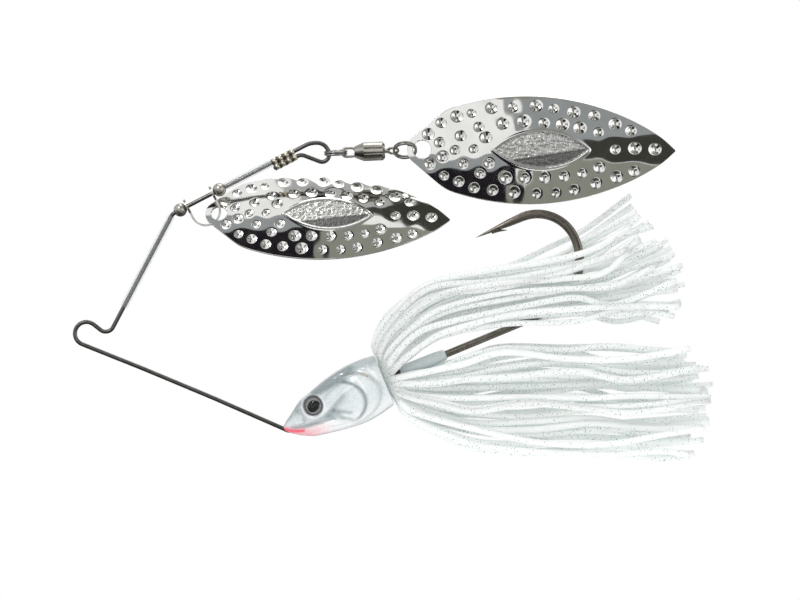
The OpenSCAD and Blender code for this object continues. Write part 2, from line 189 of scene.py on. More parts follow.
def sweep(path, wide, tall, sides=16, square=1.0):
    """Rings of an ellipse carried along paths (tube, ring, xyz): wide lies across the
    path's plane XZ, tall in it. An exponent under 1 squares the ellipse."""
    ahead = np.gradient(path, axis=1)
    ahead /= np.linalg.norm(ahead, axis=-1, keepdims=True)
    flat = np.cross(ahead, np.broadcast_to([0.0, 1.0, 0.0], ahead.shape))
    flat /= np.linalg.norm(flat, axis=-1, keepdims=True)
    across = np.cross(flat, ahead)
    a = np.linspace(0, 2 * math.pi, sides, endpoint=False)
    p = np.broadcast_to(np.asarray(square, float), path.shape[:2])[..., None]
    c = np.sign(np.cos(a)) * np.abs(np.cos(a)) ** p
    s = np.sign(np.sin(a)) * np.abs(np.sin(a)) ** p
    wide = np.broadcast_to(wide, path.shape[:2])[..., None, None]
    tall = np.broadcast_to(tall, path.shape[:2])[..., None, None]
    return path[:, :, None] + wide * c[..., None] * across[:, :, None] \
        + tall * s[..., None] * flat[:, :, None]


def bent(start, steps, turn=4.0, pace=1.5):
    """Stations [x, z, heading] of a wire that runs straight and then bends, step by step:
    each step is a straight length, a left turn in degrees and the radius of the bend."""
    x, z, h = start
    out = [np.array([[x, z, h]])]
    for straight, angle, radius in steps:
        if straight > 0:
            t = np.linspace(0, straight, max(2, int(straight / pace)))[1:]
            out.append(np.stack([x + t * math.cos(h * RAD), z + t * math.sin(h * RAD),
                                 np.full(t.shape, h)], -1))
            x, z, h = out[-1][-1]
        if angle:
            k = radius if angle > 0 else -radius
            b = h + np.linspace(0, angle, max(2, int(abs(angle) / turn)))[1:]
            out.append(np.stack([x + k * (np.sin(b * RAD) - math.sin(h * RAD)),
                                 z - k * (np.cos(b * RAD) - math.cos(h * RAD)), b], -1))
            x, z, h = out[-1][-1]
    return np.concatenate(out)


def spline(points, count):
    """Catmull-Rom curves through the points of an array (curve, point, xyz)."""
    p = np.concatenate([2 * points[:, :1] - points[:, 1:2], points,
                        2 * points[:, -1:] - points[:, -2:-1]], 1)
    u = np.linspace(0, points.shape[1] - 1 - 1e-9, count)
    i = u.astype(int)
    t = (u - i)[None, :, None]
    a, b, c, d = p[:, i], p[:, i + 1], p[:, i + 2], p[:, i + 3]
    return 0.5 * (2 * b + (c - a) * t + (2 * a - 5 * b + 4 * c - d) * t ** 2
                  + (3 * b - a - 3 * c + d) * t ** 3)


def smooth_step(x, low, high):
    """0 below low, 1 above high, and a cubic ease between them."""
    t = np.clip((x - low) / (high - low), 0, 1)
    return t * t * (3 - 2 * t)


def from_stroke(s, z, points):
    """Distance from (s, z) to a chain of straight strokes through points."""
    best = np.full(np.shape(s), 1e9)
    for (ax, az), (bx, bz) in zip(points[:-1], points[1:]):
        dx, dz = bx - ax, bz - az
        t = np.clip(((s - ax) * dx + (z - az) * dz) / (dx * dx + dz * dz), 0, 1)
        best = np.minimum(best, np.hypot(s - ax - t * dx, z - az - t * dz))
    return best


def put_attribute(obj, name, values):
    """One number for each vertex, for the finishes to read."""
    layer = obj.data.attributes.new(name, "FLOAT", "POINT")
    layer.data.foreach_set("value", np.asarray(values, np.float32).ravel())


# Finishes -----------------------------------------------------------------------------------


class Shading:
    """Nodes made one at a time in a tree that ends in one shader."""

    def __init__(self, tree, last):
        self.tree, self.shader = tree, tree.nodes[last]

    def node(self, kind, **values):
        """A shader node with its sockets linked or set, and its other settings set."""
        made = self.tree.nodes.new("ShaderNode" + kind)
        for key, value in values.items():
            socket = key.replace("_", " ")
            if isinstance(value, bpy.types.NodeSocket):
                self.tree.links.new(value, made.inputs[socket])
            elif socket in made.inputs:
                made.inputs[socket].default_value = value
            else:
                setattr(made, key, value)
        return made

    def link(self, output, socket):
        self.tree.links.new(output, self.shader.inputs[socket])

    def ramp(self, value, *stops):
        made = self.node("ValToRGB", Fac=value)
        marks = made.color_ramp.elements
        while len(marks) < len(stops):
            marks.new(0.5)
        for mark, (at, colour) in zip(marks, stops):
            mark.position = at
            mark.color = (*colour, 1)
        return made.outputs["Color"]

    def span(self, value, low, high, out_low=0.0, out_high=1.0):
        made = self.node("MapRange", Value=value)
        for name, number in zip(("From Min", "From Max", "To Min", "To Max"),
                                (low, high, out_low, out_high)):
            made.inputs[name].default_value = number
        return made.outputs[0]

    def mix(self, factor, first, second, blend="MIX"):
        made = self.node("Mix", data_type="RGBA", blend_type=blend)
        for socket, value in ((made.inputs["Factor"], factor), (made.inputs[6], first),
                              (made.inputs[7], second)):
            if isinstance(value, bpy.types.NodeSocket):
                self.tree.links.new(value, socket)
            else:
                socket.default_value = value if isinstance(value, float) else (*value, 1)
        return made.outputs[2]

    def math(self, operation, first, second):
        made = self.node("Math", operation=operation)
        self.tree.links.new(first, made.inputs[0])
        self.tree.links.new(second, made.inputs[1])
        return made.outputs[0]


class Finish(Shading):
    """A procedural material round one Principled shader."""

    def __init__(self, name, colour=(0.8, 0.8, 0.8), **sockets):
        self.material = bpy.data.materials.new(name)
        self.material.use_nodes = True
        super().__init__(self.material.node_tree, "Principled BSDF")
        self.shader.inputs["Base Color"].default_value = (*colour, 1)
        for key, value in sockets.items():
            socket = key.replace("_", " ").title().replace("Ior", "IOR")
            self.shader.inputs[socket].default_value = value
        self.where = self.node("TexCoord").outputs["Object"]

    def noise(self, scale, detail=3.0, roughness=0.55):
        return self.node("TexNoise", Vector=self.where, Scale=scale, Detail=detail,
                         Roughness=roughness).outputs["Fac"]

    def attribute(self, name):
        return self.node("Attribute", attribute_name=name).outputs["Fac"]

    def bump(self, height, strength, distance):
        made = self.node("Bump", Strength=strength, Distance=distance, Height=height)
        self.link(made.outputs[0], "Normal")


def scaled(colour, factor):
    """A colour times a factor, held to 1."""
    return tuple(min(1.0, c * factor) for c in colour)


def plated(name, colour, rough, grain=900.0, vary=0.16):
    """Plated metal: a polish that varies, small handling marks and a fine bump."""
    f = Finish(name, colour, metallic=1.0)
    cloud = f.noise(grain * 0.35, 4)
    f.link(f.mix(f.span(cloud, 0.35, 0.65), scaled(colour, 1 - vary),
                 scaled(colour, 1 + vary)), "Base Color")
    streak = f.noise(grain, 3, 0.6)
    f.link(f.span(streak, 0.3, 0.7, rough * 0.6, rough * 1.5), "Roughness")
    f.bump(streak, 0.08, 0.000008)
    return f.material


def make_finishes(metal, head, skirt):
    """Every finish by the name that the pieces ask for."""
    return {
        "wire": plated("black_nickel_wire", metal.dark, 0.22, 1400),
        "nickel": plated("nickel_plate", (0.52, 0.51, 0.48), 0.18),
        "bead": plated("nickel_bead", (0.50, 0.48, 0.44), 0.27, 1600, vary=0.08),
        "ring": plated("ring_steel", (0.36, 0.35, 0.33), 0.20),
        "swivel": plated("swivel_metal", (0.46, 0.44, 0.40), 0.18),
        "ball": plated("ball_steel", (0.60, 0.60, 0.60), 0.15),
        "hook": plated("hook_steel", metal.bronze, 0.24, 1200),
        "crimp": crimp_finish(), "blade": blade_finish(metal), "tube": tube_finish(),
        "head": head_finish(head), "eye": eye_finish(), "dome": dome_finish(),
        "collar": collar_finish(), "strand": strand_finish(skirt),
    }


def crimp_finish():
    """Soft metal squeezed in rings across the sleeve, with painted shade in the grooves and
    painted highlights on the crests.
    """
    f = Finish("crimp_metal", (0.55, 0.51, 0.42), metallic=1.0)
    along = f.node("Mapping", Vector=f.where, Rotation=(0, ARM_ANGLE * RAD, 0))
    rings = f.node("TexWave", Vector=along.outputs[0], Scale=225.0, Distortion=0.6,
                   bands_direction="X").outputs["Fac"]
    # Painted shade and highlight: the base colour runs with the rings from near black in the
    # grooves to pale gold on the crests
    f.link(f.ramp(rings, (0.0, (0.10, 0.09, 0.08)), (0.35, (0.34, 0.32, 0.28)),
                  (0.75, (0.78, 0.72, 0.58))), "Base Color")
    f.link(f.span(f.noise(1500, 3), 0.3, 0.7, 0.14, 0.34), "Roughness")
    f.bump(rings, 0.9, 0.00022)
    return f.material


def blade_finish(metal):
    """Bright nickel, with a grainy frosted panel where the panel attribute is 1, darker
    where the fine attribute is 1."""
    f = Finish("hammered_nickel", metal.nickel, metallic=1.0)
    panel = f.attribute("panel")
    tint = f.span(f.noise(160, 3), 0.35, 0.65)
    bright = f.mix(tint, scaled(metal.nickel, 0.94), scaled(metal.nickel, 1.04))
    matte = f.mix(f.attribute("fine"), scaled(metal.nickel, 0.86), scaled(metal.nickel, 0.34))
    f.link(f.mix(panel, bright, matte), "Base Color")
    polish = f.span(f.noise(420, 4), 0.3, 0.7, 0.035, 0.075)
    rough = f.node("Mix", Factor=panel)
    f.tree.links.new(polish, rough.inputs[2])
    rough.inputs[3].default_value = 0.22
    f.link(rough.outputs[0], "Roughness")
    f.bump(f.math("MULTIPLY", panel, f.noise(2600, 3)), 0.9, 0.00008)
    return f.material


def tube_finish():
    """Clear flexible tube: almost unseen face on, milky along its edges."""
    f = Finish("clear_tube", (0.72, 0.77, 0.78), specular_ior_level=0.8, ior=1.5)
    edge = f.node("LayerWeight", Blend=0.5).outputs["Facing"]
    f.link(f.span(edge, 0.35, 0.97, 0.07, 0.60), "Alpha")
    f.link(f.span(f.noise(300, 2), 0.3, 0.7, 0.04, 0.10), "Roughness")
    return f.material


def head_finish(head):
    """Pearl paint under a clear coat: the glint attribute places painted highlights on the
    ridges and round the eye and lightens the underside, the shade attribute the grey back
    and painted shade in the folds, the speck and throat attributes the ochre specks and the
    red throat, and fine flake breaks up the pearl."""
    f = Finish("pearl_paint", head.pearl, coat_weight=1.0, coat_roughness=0.04,
               specular_ior_level=0.5)
    flake = f.span(f.noise(2600, 2), 0.35, 0.65)
    pearl = f.mix(flake, scaled(head.pearl, 0.96), scaled(head.pearl, 1.05))
    # Painted highlight where glint is 1, painted shade and the grey back where shade is 1
    lit = f.mix(f.attribute("glint"), pearl, (0.97, 0.985, 0.99))
    shaded = f.mix(f.attribute("shade"), lit, head.back)
    fleck = f.span(f.noise(1500, 3), 0.54, 0.60)
    dotted = f.math("MULTIPLY", f.attribute("speck"), fleck)
    specked = f.mix(dotted, shaded, (0.55, 0.46, 0.28))
    f.link(f.mix(f.attribute("throat"), specked, head.throat), "Base Color")
    f.link(f.span(flake, 0, 1, 0.22, 0.36), "Roughness")
    f.bump(f.noise(1100, 3), 0.05, 0.00004)
    return f.material


def eye_finish():
    """Foil eye: the ring attribute runs from 0 at the pupil to 1 at the rim."""
    f = Finish("eye_foil", (0.7, 0.7, 0.72))
    ring = f.attribute("ring")
    f.link(f.ramp(ring, (0.0, (0.004, 0.004, 0.005)), (0.50, (0.006, 0.006, 0.008)),
                  (0.54, (0.66, 0.68, 0.66)), (0.71, (0.52, 0.56, 0.52)),
                  (0.77, (0.07, 0.06, 0.08)), (0.90, (0.30, 0.27, 0.34)),
                  (1.0, (0.16, 0.14, 0.19))), "Base Color")
    f.link(f.ramp(ring, (0.0, (0, 0, 0)), (0.52, (0, 0, 0)), (0.58, (0.9, 0.9, 0.9)),
                  (0.72, (0.9, 0.9, 0.9)), (0.78, (0.2, 0.2, 0.2))), "Metallic")
    f.link(f.span(f.noise(3000, 2), 0.3, 0.7, 0.15, 0.35), "Roughness")
    return f.material


def dome_finish():
    """Clear resin over the foil, with a sharp gloss."""
    f = Finish("clear_dome", (0.01, 0.01, 0.012), alpha=0.3, ior=1.8)
    f.link(f.span(f.noise(500, 2), 0.3, 0.7, 0.02, 0.06), "Roughness")
    return f.material


def collar_finish():
    """Dull black rubber."""
    f = Finish("black_rubber", (0.02, 0.02, 0.022))
    f.link(f.span(f.noise(1500, 3), 0.3, 0.7, 0.45, 0.7), "Roughness")
    f.bump(f.noise(2500, 3), 0.25, 0.00005)
    return f.material


def strand_finish(skirt):
    """Milky silicone with small silver flakes set in it: the glitter attribute, one
    number for each strand, says how many. A faint painted glow lifts the strands and the
    shade between them."""
    # The emission is a painted glow that brightens the strands and the shade between them
    f = Finish("glitter_silicone", skirt.silicone, transmission_weight=0.06, ior=1.41,
               subsurface_weight=0.6, subsurface_radius=(0.9, 1.0, 1.0),
               subsurface_scale=0.0016, emission_color=(0.88, 0.95, 0.92, 1),
               emission_strength=0.075)
    cells = f.node("TexVoronoi", Vector=f.where, Scale=3500.0)
    pick = f.node("SeparateColor", Color=cells.outputs["Color"])
    near = f.span(cells.outputs["Distance"], 0.30, 0.42, 1, 0)
    dense = f.attribute("glitter")
    share = f.span(dense, 0, 1, 0.93, 0.62)
    flake = f.math("MULTIPLY", near, f.math("GREATER_THAN", pick.outputs[0], share))
    tone = f.ramp(pick.outputs[1], (0.0, (0.30, 0.32, 0.33)), (0.35, (0.50, 0.53, 0.54)),
                  (1.0, (0.84, 0.87, 0.88)))
    cloud = f.mix(f.span(f.noise(300, 3), 0.35, 0.65), scaled(skirt.silicone, 0.98),
                  scaled(skirt.silicone, 1.06))
    milk = f.mix(dense, cloud, scaled(skirt.silicone, 0.90))
    f.link(f.mix(flake, milk, tone), "Base Color")
    f.link(f.span(flake, 0, 1, 0.0, 0.85), "Metallic")
    f.link(f.span(flake, 0, 1, 0.38, 0.25), "Roughness")
    f.bump(f.noise(1300, 3), 0.2, 0.00005)
    return f.material


FINISHES = {}


def finish_piece(obj, finish, body, slot, *nodes):
    """Gives a new piece its finish and body, and puts it in the place of its CAD nodes."""
    obj.data.materials.append(FINISHES[finish])
    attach(obj, body)
    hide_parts(*nodes)


def finish_node(node, finish):
    """Gives a CAD node that stays in view its finish."""
    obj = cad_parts[node]
    if not obj.material_slots:
        obj.data.materials.append(FINISHES[finish])
    for held in obj.material_slots:
        held.material = FINISHES[finish]


def settings():
    scene = bpy.context.scene
    return scene.spinnerbait_metal, scene.spinnerbait_head, scene.spinnerbait_skirt


# Pieces -------------------------------------------------------------------------------------


class Piece:
    """Shared by the operators."""

    bl_options = {"REGISTER", "UNDO"}


class SPINNERBAIT_OT_finishes(Piece, bpy.types.Operator):
    """Make the metals, paint, rubber and silicone"""

    bl_idname = "spinnerbait.finishes"
    bl_label = "Finishes"

    def execute(self, context):
        metal, head, skirt = settings()
        FINISHES.update(make_finishes(metal, head, skirt))
        for node, finish in {
                "front_bead": "bead", "rear_bead": "bead", "clevis": "nickel",
                "crimp_sleeve": "crimp",
                "swivel_barrel": "swivel", "swivel_end_cap": "swivel",
                "swivel_balls": "ball", "skirt_collar": "collar"}.items():
            finish_node(node, finish)
        return {"FINISHED"}


class SPINNERBAIT_OT_wire(Piece, bpy.types.Operator):
    """Bend the spring wire of the frame"""

    bl_idname = "spinnerbait.wire"
    bl_label = "Wire frame"

    def execute(self, context):
        metal = settings()[0]
        tie_r, corner_r, crown_r, tip_r, under_r, back_r = 2.45, 1.5, 4.7, 2.55, 1.49, 1.9
        crimp_start, crimp_len, gap = 23.75, 5.25, 1.25
        corner_run = corner_r * math.tan((LEG_ANGLE - ARM_ANGLE) / 2 * RAD)
        under, lower_slope, lower_sag, lower_chord = 110.7, 21.4, 2.7, 46.34
        back = under - 90 + ARM_ANGLE
        cos, sin = (lambda a: math.cos(a * RAD)), (lambda a: math.sin(a * RAD))
        back_len = (crown_r * (1 - cos(ARM_ANGLE)) + 0.3 * sin(ARM_ANGLE)
                    + tip_r * (cos(ARM_ANGLE) - cos(90 + ARM_ANGLE))
                    + under_r * (cos(90 + ARM_ANGLE) - cos(180 + back))
                    - back_r * (1 + cos(180 + back)) - gap) / sin(back)
        start = (tie_r * cos(90 - TIE_DROP), tie_r * sin(90 - TIE_DROP))
        upper = bent((*start, -TIE_DROP), [
            (1.87, LEG_ANGLE + TIE_DROP, 1.79), (26.68, ARM_ANGLE - LEG_ANGLE, corner_r),
            (crimp_start + crimp_len - corner_run + 2.8, -ARM_ANGLE, crown_r),
            (0.3, -90, tip_r), (0, -under, under_r), (back_len, back, back_r),
            (crimp_len + 0.4, 0, 1)])
        lower_r = lower_chord / 2 / sin(lower_sag / 2)
        lower = bent((*start, 180 - TIE_DROP), [
            (0, 180 + TIE_DROP - lower_slope, tie_r), (0, -lower_sag, lower_r),
            (0.7, lower_slope + lower_sag + SHANK_ANGLE, 2), (7, 0, 1)], turn=lower_sag / 24)
        lower = lower[np.r_[0:1, 1:len(lower):8, len(lower) - 1:len(lower)]]
        line = np.concatenate([lower[::-1], upper[1:]])[:, :2]
        keep = np.r_[True, np.hypot(*np.diff(line, axis=0).T) > 0.02]
        line = line[keep]
        path = np.stack([line[:, 0], 0 * line[:, 0], line[:, 1]], -1)[None]
        radius = metal.wire / MM / 2
        ends = np.full(path.shape[1], radius)
        ends[[0, -1]] *= 0.8
        rings = sweep(path, ends[None], ends[None], 20)
        finish_piece(tubes("frame_wire_bent", placed(rings)), "wire", "frame",
                     "black_nickel_wire", "frame_wire")
        return {"FINISHED"}


# The leaf as drawn: its length, its back edge and its hole from the widest station, mm
LEAF_LENGTH = 57.1
LEAF_BACK = -25.5
HOLE_BACK = -22.3


def leaf_half_width(x):
    """Half the leaf's width at x from its widest station, mm: a circular arc over the
    middle, a straight taper and a round end at the hole, and a small round tip."""
    reach, half = 32.3, 11.5
    radius = (reach ** 2 + half ** 2) / (2 * half)
    arc = np.sqrt(np.maximum(radius ** 2 - x ** 2, 0)) - (radius - half)
    tip = arc * np.sqrt(1 - np.clip((x - 27.6) / 4.0, 0, 1) ** 3)
    taper = 7.6 + (x + 18.4) * (7.6 - 2.59) / 5.9
    round_end = np.sqrt(np.clip(3.4 ** 2 - (x + 22.1) ** 2, 0, None))
    w = -np.log(np.exp(-3 * tip) + np.exp(-3 * np.maximum(taper, -1))) / 3
    w = np.where(x > 0, tip, w)
    return np.where(x < -24.3, round_end, w)


def dimple_places(seed=4):
    """Centres and radii of the dimples, mm: two rows that follow each edge, a patch
    behind the hole and three on the middle line near the tip."""
    outer = np.array([-20.9, -18.0, -14.9, -11.6, -7.4, -3.0, 1.6, 5.6, 9.7, 14.3, 18.5,
                      22.3])
    second = np.array([-10.2, -5.0, -0.9, 3.4, 7.4, 11.2, 15.1])
    inner = np.array([[-18.6, 1.7], [-13.9, 3.1], [-8.6, 2.6]])
    middle = np.array([[-15.4, 0.0], [-11.5, 0.2], [18.5, 0.3], [22.9, 0.3], [27.0, 0.2]])
    rows = [np.stack([outer, leaf_half_width(outer) - 2.35], -1),
            np.stack([second, leaf_half_width(second) - 5.5], -1), inner]
    both = np.concatenate(rows)
    spots = np.concatenate([both, both * [1, -1] + [0.45, 0], middle])
    draw = np.random.default_rng(seed)
    size = draw.uniform(0.76, 1.1, len(spots))
    spots = spots + draw.uniform(-0.25, 0.25, spots.shape)
    return spots, size


def make_blade(length, hole_r, metal):
    """One hammered blade as a sheet, mm, hole at the origin: the cup is a strip of a
    circle of 320 carried round a circle of 45, each dimple a round hollow with a soft
    shoulder, and the panel a sunk vesica with a raised rim and grain."""
    rows, cols = 300, 119
    u = np.linspace(0, 1, rows)
    u = 0.45 * u + 0.55 * (1 - np.cos(math.pi * u)) / 2
    x = (LEAF_BACK + LEAF_LENGTH * u)[:, None] * np.ones(cols)
    v = np.linspace(-1, 1, cols)[None] * np.ones((rows, 1))
    y = leaf_half_width(x) * v
    size_to = length / LEAF_LENGTH
    along, across, thick = 320.0, 45.0, 0.4 / size_to
    crown = along - math.sqrt(along ** 2 - HOLE_BACK ** 2)
    ring = across - along + np.sqrt((along - thick / 2) ** 2 - x ** 2)
    z = crown + thick / 2 - across + np.sqrt(ring ** 2 - y ** 2)
    radius, dent = metal.dimple / MM, metal.dent / MM
    spots, size = dimple_places()
    for (cx, cy), s in zip(spots, size):
        d = np.hypot(x - cx, y - cy)
        q = np.clip(d / (radius * s), 0, 1)
        z -= dent * s * (1 - q ** 2) ** 1.35 + 0.065 * np.exp(-(d / 2.1) ** 2)
    px, half_len, half_tall = 3.0, 10.4, 4.15
    arc_r = (half_len ** 2 + half_tall ** 2) / (2 * half_tall)
    arc = np.sqrt(np.maximum(arc_r ** 2 - (x - px) ** 2, 0)) - (arc_r - half_tall)
    inside = arc - np.abs(y)
    inside = np.where(np.abs(x - px) > half_len, -9, inside)
    face = smooth_step(inside, 0.25, 0.7)
    slant = y + 1.15 - 0.16 * (x - px)
    grain = np.random.default_rng(9).normal(0, 1, x.shape)
    grain[1:-1, 1:-1] = (grain[1:-1, 1:-1] + grain[:-2, 1:-1] + grain[1:-1, :-2]) / 1.7
    coarse = smooth_step(slant, -0.1, 0.15)
    z += 0.11 * np.exp(-((inside - 0.12) / 0.30) ** 2) - 0.12 * face
    z += face * grain * (0.018 + 0.045 * coarse) + 0.05 * face * np.exp(-(slant / 0.22) ** 2)
    hx, hr = x - HOLE_BACK, hole_r / size_to
    d = np.hypot(hx, y)
    hole = d < hr
    push = np.where(hole, hr / np.maximum(d, 1e-6), 1.0)
    flat = quads(rows, cols)
    flat = flat[~hole.ravel()[flat].all(1)]
    points = np.stack([hx * push, y * push, z], -1) * size_to
    used = np.unique(flat)
    index = np.full(rows * cols, -1)
    index[used] = np.arange(len(used))
    fine = face * (1 - coarse)
    return points.reshape(-1, 3)[used], index[flat], face.ravel()[used], fine.ravel()[used]


class SPINNERBAIT_OT_tubes(Piece, bpy.types.Operator):
    """Cut the clear tubes that space the beads along the wire"""

    bl_idname = "spinnerbait.tubes"
    bl_label = "Clear tubes"

    def execute(self, context):
        cad_r, outer, inner, chamfer, lead = 0.75, 0.80, 0.58, 0.04, 0.2
        for node, angle in (("lower_tube", LEG_ANGLE), ("upper_tube", ARM_ANGLE)):
            low, high = (np.array(corner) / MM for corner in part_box(node))
            middle = (low + high) / 2
            span = high[0] - low[0] - 2 * cad_r * math.sin(angle * RAD)
            h = span / math.cos(angle * RAD) / 2
            profile = [(-h, inner + chamfer), (-h, outer - chamfer), (chamfer - h, outer),
                       (lead - h, outer), (h - lead, outer), (h - chamfer, outer),
                       (h, outer - chamfer), (h, inner + chamfer), (h - chamfer, inner),
                       (h - lead, inner), (lead - h, inner), (chamfer - h, inner),
                       (-h, inner + chamfer)]
            x, r = np.array(profile).T[..., None]
            a = np.linspace(0, 2 * math.pi, 48, endpoint=False)[None]
            skin = np.stack(np.broadcast_arrays(x, r * np.cos(a), r * np.sin(a)), -1)
            obj = new_object(node + "_clear", placed(skin, (middle[0], middle[2]), angle),
                             quads(len(profile), 48, True).tolist())
            settle_normals(obj, 1e-7)
            finish_piece(obj, "tube", "frame", "clear_tube", node)
        return {"FINISHED"}


class SPINNERBAIT_OT_blades(Piece, bpy.types.Operator):
    """Stamp the two hammered leaf blades"""

    bl_idname = "spinnerbait.blades"
    bl_label = "Blades"

    def execute(self, context):
        metal = settings()[0]
        for name, length, hole_r, at, slope, lean in (
                ("front_blade", 52.0, 1.7, FRONT_HOLE, -1.2, BLADE_LEAN),
                ("rear_blade", 57.1, 1.95, REAR_HOLE, -0.3, 0)):
            points, faces, panel, fine = make_blade(length, hole_r, metal)
            upright = points[:, [0, 2, 1]] * [1, -1, 1]
            verts = placed(leaned(upright, -lean), at, slope)
            obj = new_object(name + "_hammered", verts, faces.tolist())
            put_attribute(obj, "panel", panel)
            put_attribute(obj, "fine", fine)
            settle_normals(obj, 1e-6)
            wall = obj.modifiers.new("thickness", "SOLIDIFY")
            wall.thickness = 0.38 * MM
            wall.offset = 0
            finish_piece(obj, "blade", name, "nickel_blade", name)
        return {"FINISHED"}


class SPINNERBAIT_OT_rings(Piece, bpy.types.Operator):
    """Coil the two split rings and bend the swivel's wire eyes"""

    bl_idname = "spinnerbait.rings"
    bl_label = "Rings and swivel eyes"

    def execute(self, context):
        metal = settings()[0]
        w = metal.ring / MM
        turn = np.linspace(0, 4 * math.pi - 0.08, 130)
        for node, body, centre, radius, lean, begin in (
                ("front_split_ring", "front_ring", 1.45, 2.25, 6, 2.4),
                ("rear_split_ring", "rear_ring", 13.81 + 2.35, 2.35, RING_LEAN, 0.9)):
            lift = -w / 2 + w * smooth_step(turn, 2 * math.pi - 0.35, 2 * math.pi + 0.35)
            a = turn + begin
            s = np.linspace(0, 2 * math.pi, 12, endpoint=False)
            r = radius + 0.5 * w * np.cos(s)[None]
            rings = np.stack([r * np.cos(a)[:, None], r * np.sin(a)[:, None],
                              lift[:, None] + 0.48 * w * np.sin(s)[None]], -1)
            flat = leaned(rings, lean) + [centre, 0, 0]
            obj = tubes(node + "_coils", placed(flat, CHAIN_AT, CHAIN_SLOPE)[None])
            finish_piece(obj, "ring", body, "ring_steel", node)
        self.eye("swivel_front_eye", "swivel", 3.7, 0, 1.1, (2.0, 4.7))
        self.eye("swivel_rear_eye", "turning_eye", 13.81, 90 + RING_LEAN, -0.3,
                 (-4.1, -1.2))
        return {"FINISHED"}

    @staticmethod
    def eye(node, body, at, lean, slot, stem):
        """A round wire loop across the ring and the stem it grows from: the loop is a
        circle drawn out along the chain."""
        hole, wire = 0.62, 0.56
        a = np.linspace(0, 2 * math.pi, 49)[:-1]
        r = hole + wire / 2
        x = r * np.cos(a) + slot * (np.cos(a) * np.sign(slot) > 0)
        ring = np.stack([x, 0 * a, r * np.sin(a)], -1)
        ring = np.concatenate([ring, ring[:1]])[None]
        loop = sweep(ring, wire / 2, wire / 2, 12)
        loop[:, [0, -1]] = 0.5 * (loop[:, [0]] + loop[:, [-1]])
        t = np.linspace(0, 1, 49)
        neck = np.stack([stem[0] + t * (stem[1] - stem[0]), 0 * t, 0 * t], -1)[None]
        taper = 0.46 + 0.12 * np.abs(2 * t - 1) ** 6
        rod = sweep(neck, taper[None], taper[None], 12)
        both = np.concatenate([loop, rod])
        obj = tubes(node + "_wire",
                    placed(leaned(both, lean) + [at, 0, 0], CHAIN_AT, CHAIN_SLOPE))
        finish_piece(obj, "swivel", body, "swivel_metal", node)


class SPINNERBAIT_OT_hook(Piece, bpy.types.Operator):
    """Forge the hook"""

    bl_idname = "spinnerbait.hook"
    bl_label = "Hook"

    def execute(self, context):
        metal = settings()[0]
        d = metal.hook / MM
        line = bent((-9.5, 0, 0), [(46.5, 90, 12.1), (0, 91.5, 8.67), (4.4, 0, 1)],
                    turn=3.0, pace=1.0)
        tip = line[-1, :2] + 6.1 * np.array([math.cos(181.5 * RAD), math.sin(181.5 * RAD)])
        t = np.linspace(0, 1, 24)[1:, None]
        point = line[-1, :2] + t * (tip - line[-1, :2])
        xz = np.concatenate([line[:, :2], point])
        path = np.stack([xz[:, 0], 0 * xz[:, 0], xz[:, 1]], -1)[None]
        run = np.concatenate([[0], np.cumsum(np.hypot(*np.diff(xz, axis=0).T))])
        left = run[-1] - run
        forged = smooth_step(run, 46.5, 55) * smooth_step(left, 6, 12)
        sharp = np.clip(left / 7.6, 0.012, 1) ** 0.82
        tall = d / 2 * (1 + 0.27 * forged) * sharp
        wide = d / 2 * (1 - 0.06 * forged) * sharp
        rings = sweep(path, wide[None], tall[None], 24, (1 - 0.42 * forged)[None])
        end = line[-1]
        c, s = math.cos(end[2] * RAD), math.sin(end[2] * RAD)
        b = np.linspace(0, 1, len(xz))
        bx, bz = 2.6 - 3.3 * b, 0.35 + 0.95 * b ** 1.5
        barb = np.stack([end[0] + bx * c - bz * s, 0 * b, end[1] + bx * s + bz * c], -1)[None]
        thin = 0.34 * (1 - b) ** 0.7 + 0.015
        spur = sweep(barb, thin[None], (thin * 1.1)[None], 24)
        obj = tubes("hook_forged",
                    placed(np.concatenate([rings, spur]), HEAD_AT, SHANK_ANGLE))
        finish_piece(obj, "hook", "frame", "hook_steel", "hook")
        return {"FINISHED"}


HEAD_ROWS = np.array([
    [-23.4, -1.45, 0.55, 0.6], [-22.4, -1.5, 1.45, 1.3], [-20.8, -1.5, 2.55, 2.3],
    [-18.2, -1.25, 4.05, 3.4], [-15.4, -1.1, 4.8, 4.2], [-11.8, -0.8, 5.65, 4.9],
    [-7.4, -0.55, 6.3, 5.25], [-3.2, -0.25, 6.2, 5.2], [0, 0, 5.65, 4.8]])


# Strokes in side view (s, z), mm, with how far each pushes the skin and its half width
FOLDS = (
    (-0.46, 0.85, [(-14.6, 3.4), (-12.2, 3.5), (-9.0, 4.2), (-6.0, 5.0)]),
    (0.26, 0.45, [(-12.9, 2.1), (-9.4, 3.3), (-7.2, 3.3)]),
    (0.22, 0.40, [(-6.0, 1.5), (-8.1, 1.15), (-9.8, 0.6), (-11.8, -0.4)]),
    (-0.26, 0.60, [(-6.9, 0.7), (-9.2, 0.1), (-11.2, -0.9), (-12.6, -1.7)]),
    (0.22, 0.38, [(-12.2, -0.2), (-13.4, -1.2), (-16.0, -2.0), (-19.5, -2.2)]),
    (-0.34, 0.42, [(-22.7, -1.6), (-19.6, -2.6), (-16.4, -3.0), (-12.7, -3.3)]),
    (0.22, 0.45, [(-18.6, -3.3), (-15.6, -3.8), (-13.0, -4.3), (-10.2, -4.6)]),
    (-0.30, 0.42, [(-12.1, -1.9), (-10.2, -2.9), (-8.9, -3.6)]),
    (-0.30, 0.40, [(-11.0, -3.8), (-10.0, -4.5), (-9.2, -5.0)]),
    (0.24, 0.42, [(-12.9, -2.7), (-11.2, -3.3), (-9.6, -4.1)]),
    (-0.22, 0.50, [(-19.3, 1.0), (-18.5, -0.6), (-18.6, -1.3)]),
    (0.20, 0.40, [(-20.0, -1.2), (-18.6, -1.8), (-17.9, -0.9)]),
    (0.16, 0.50, [(-4.3, 4.7), (-2.2, 3.9), (-0.6, 2.6)]))
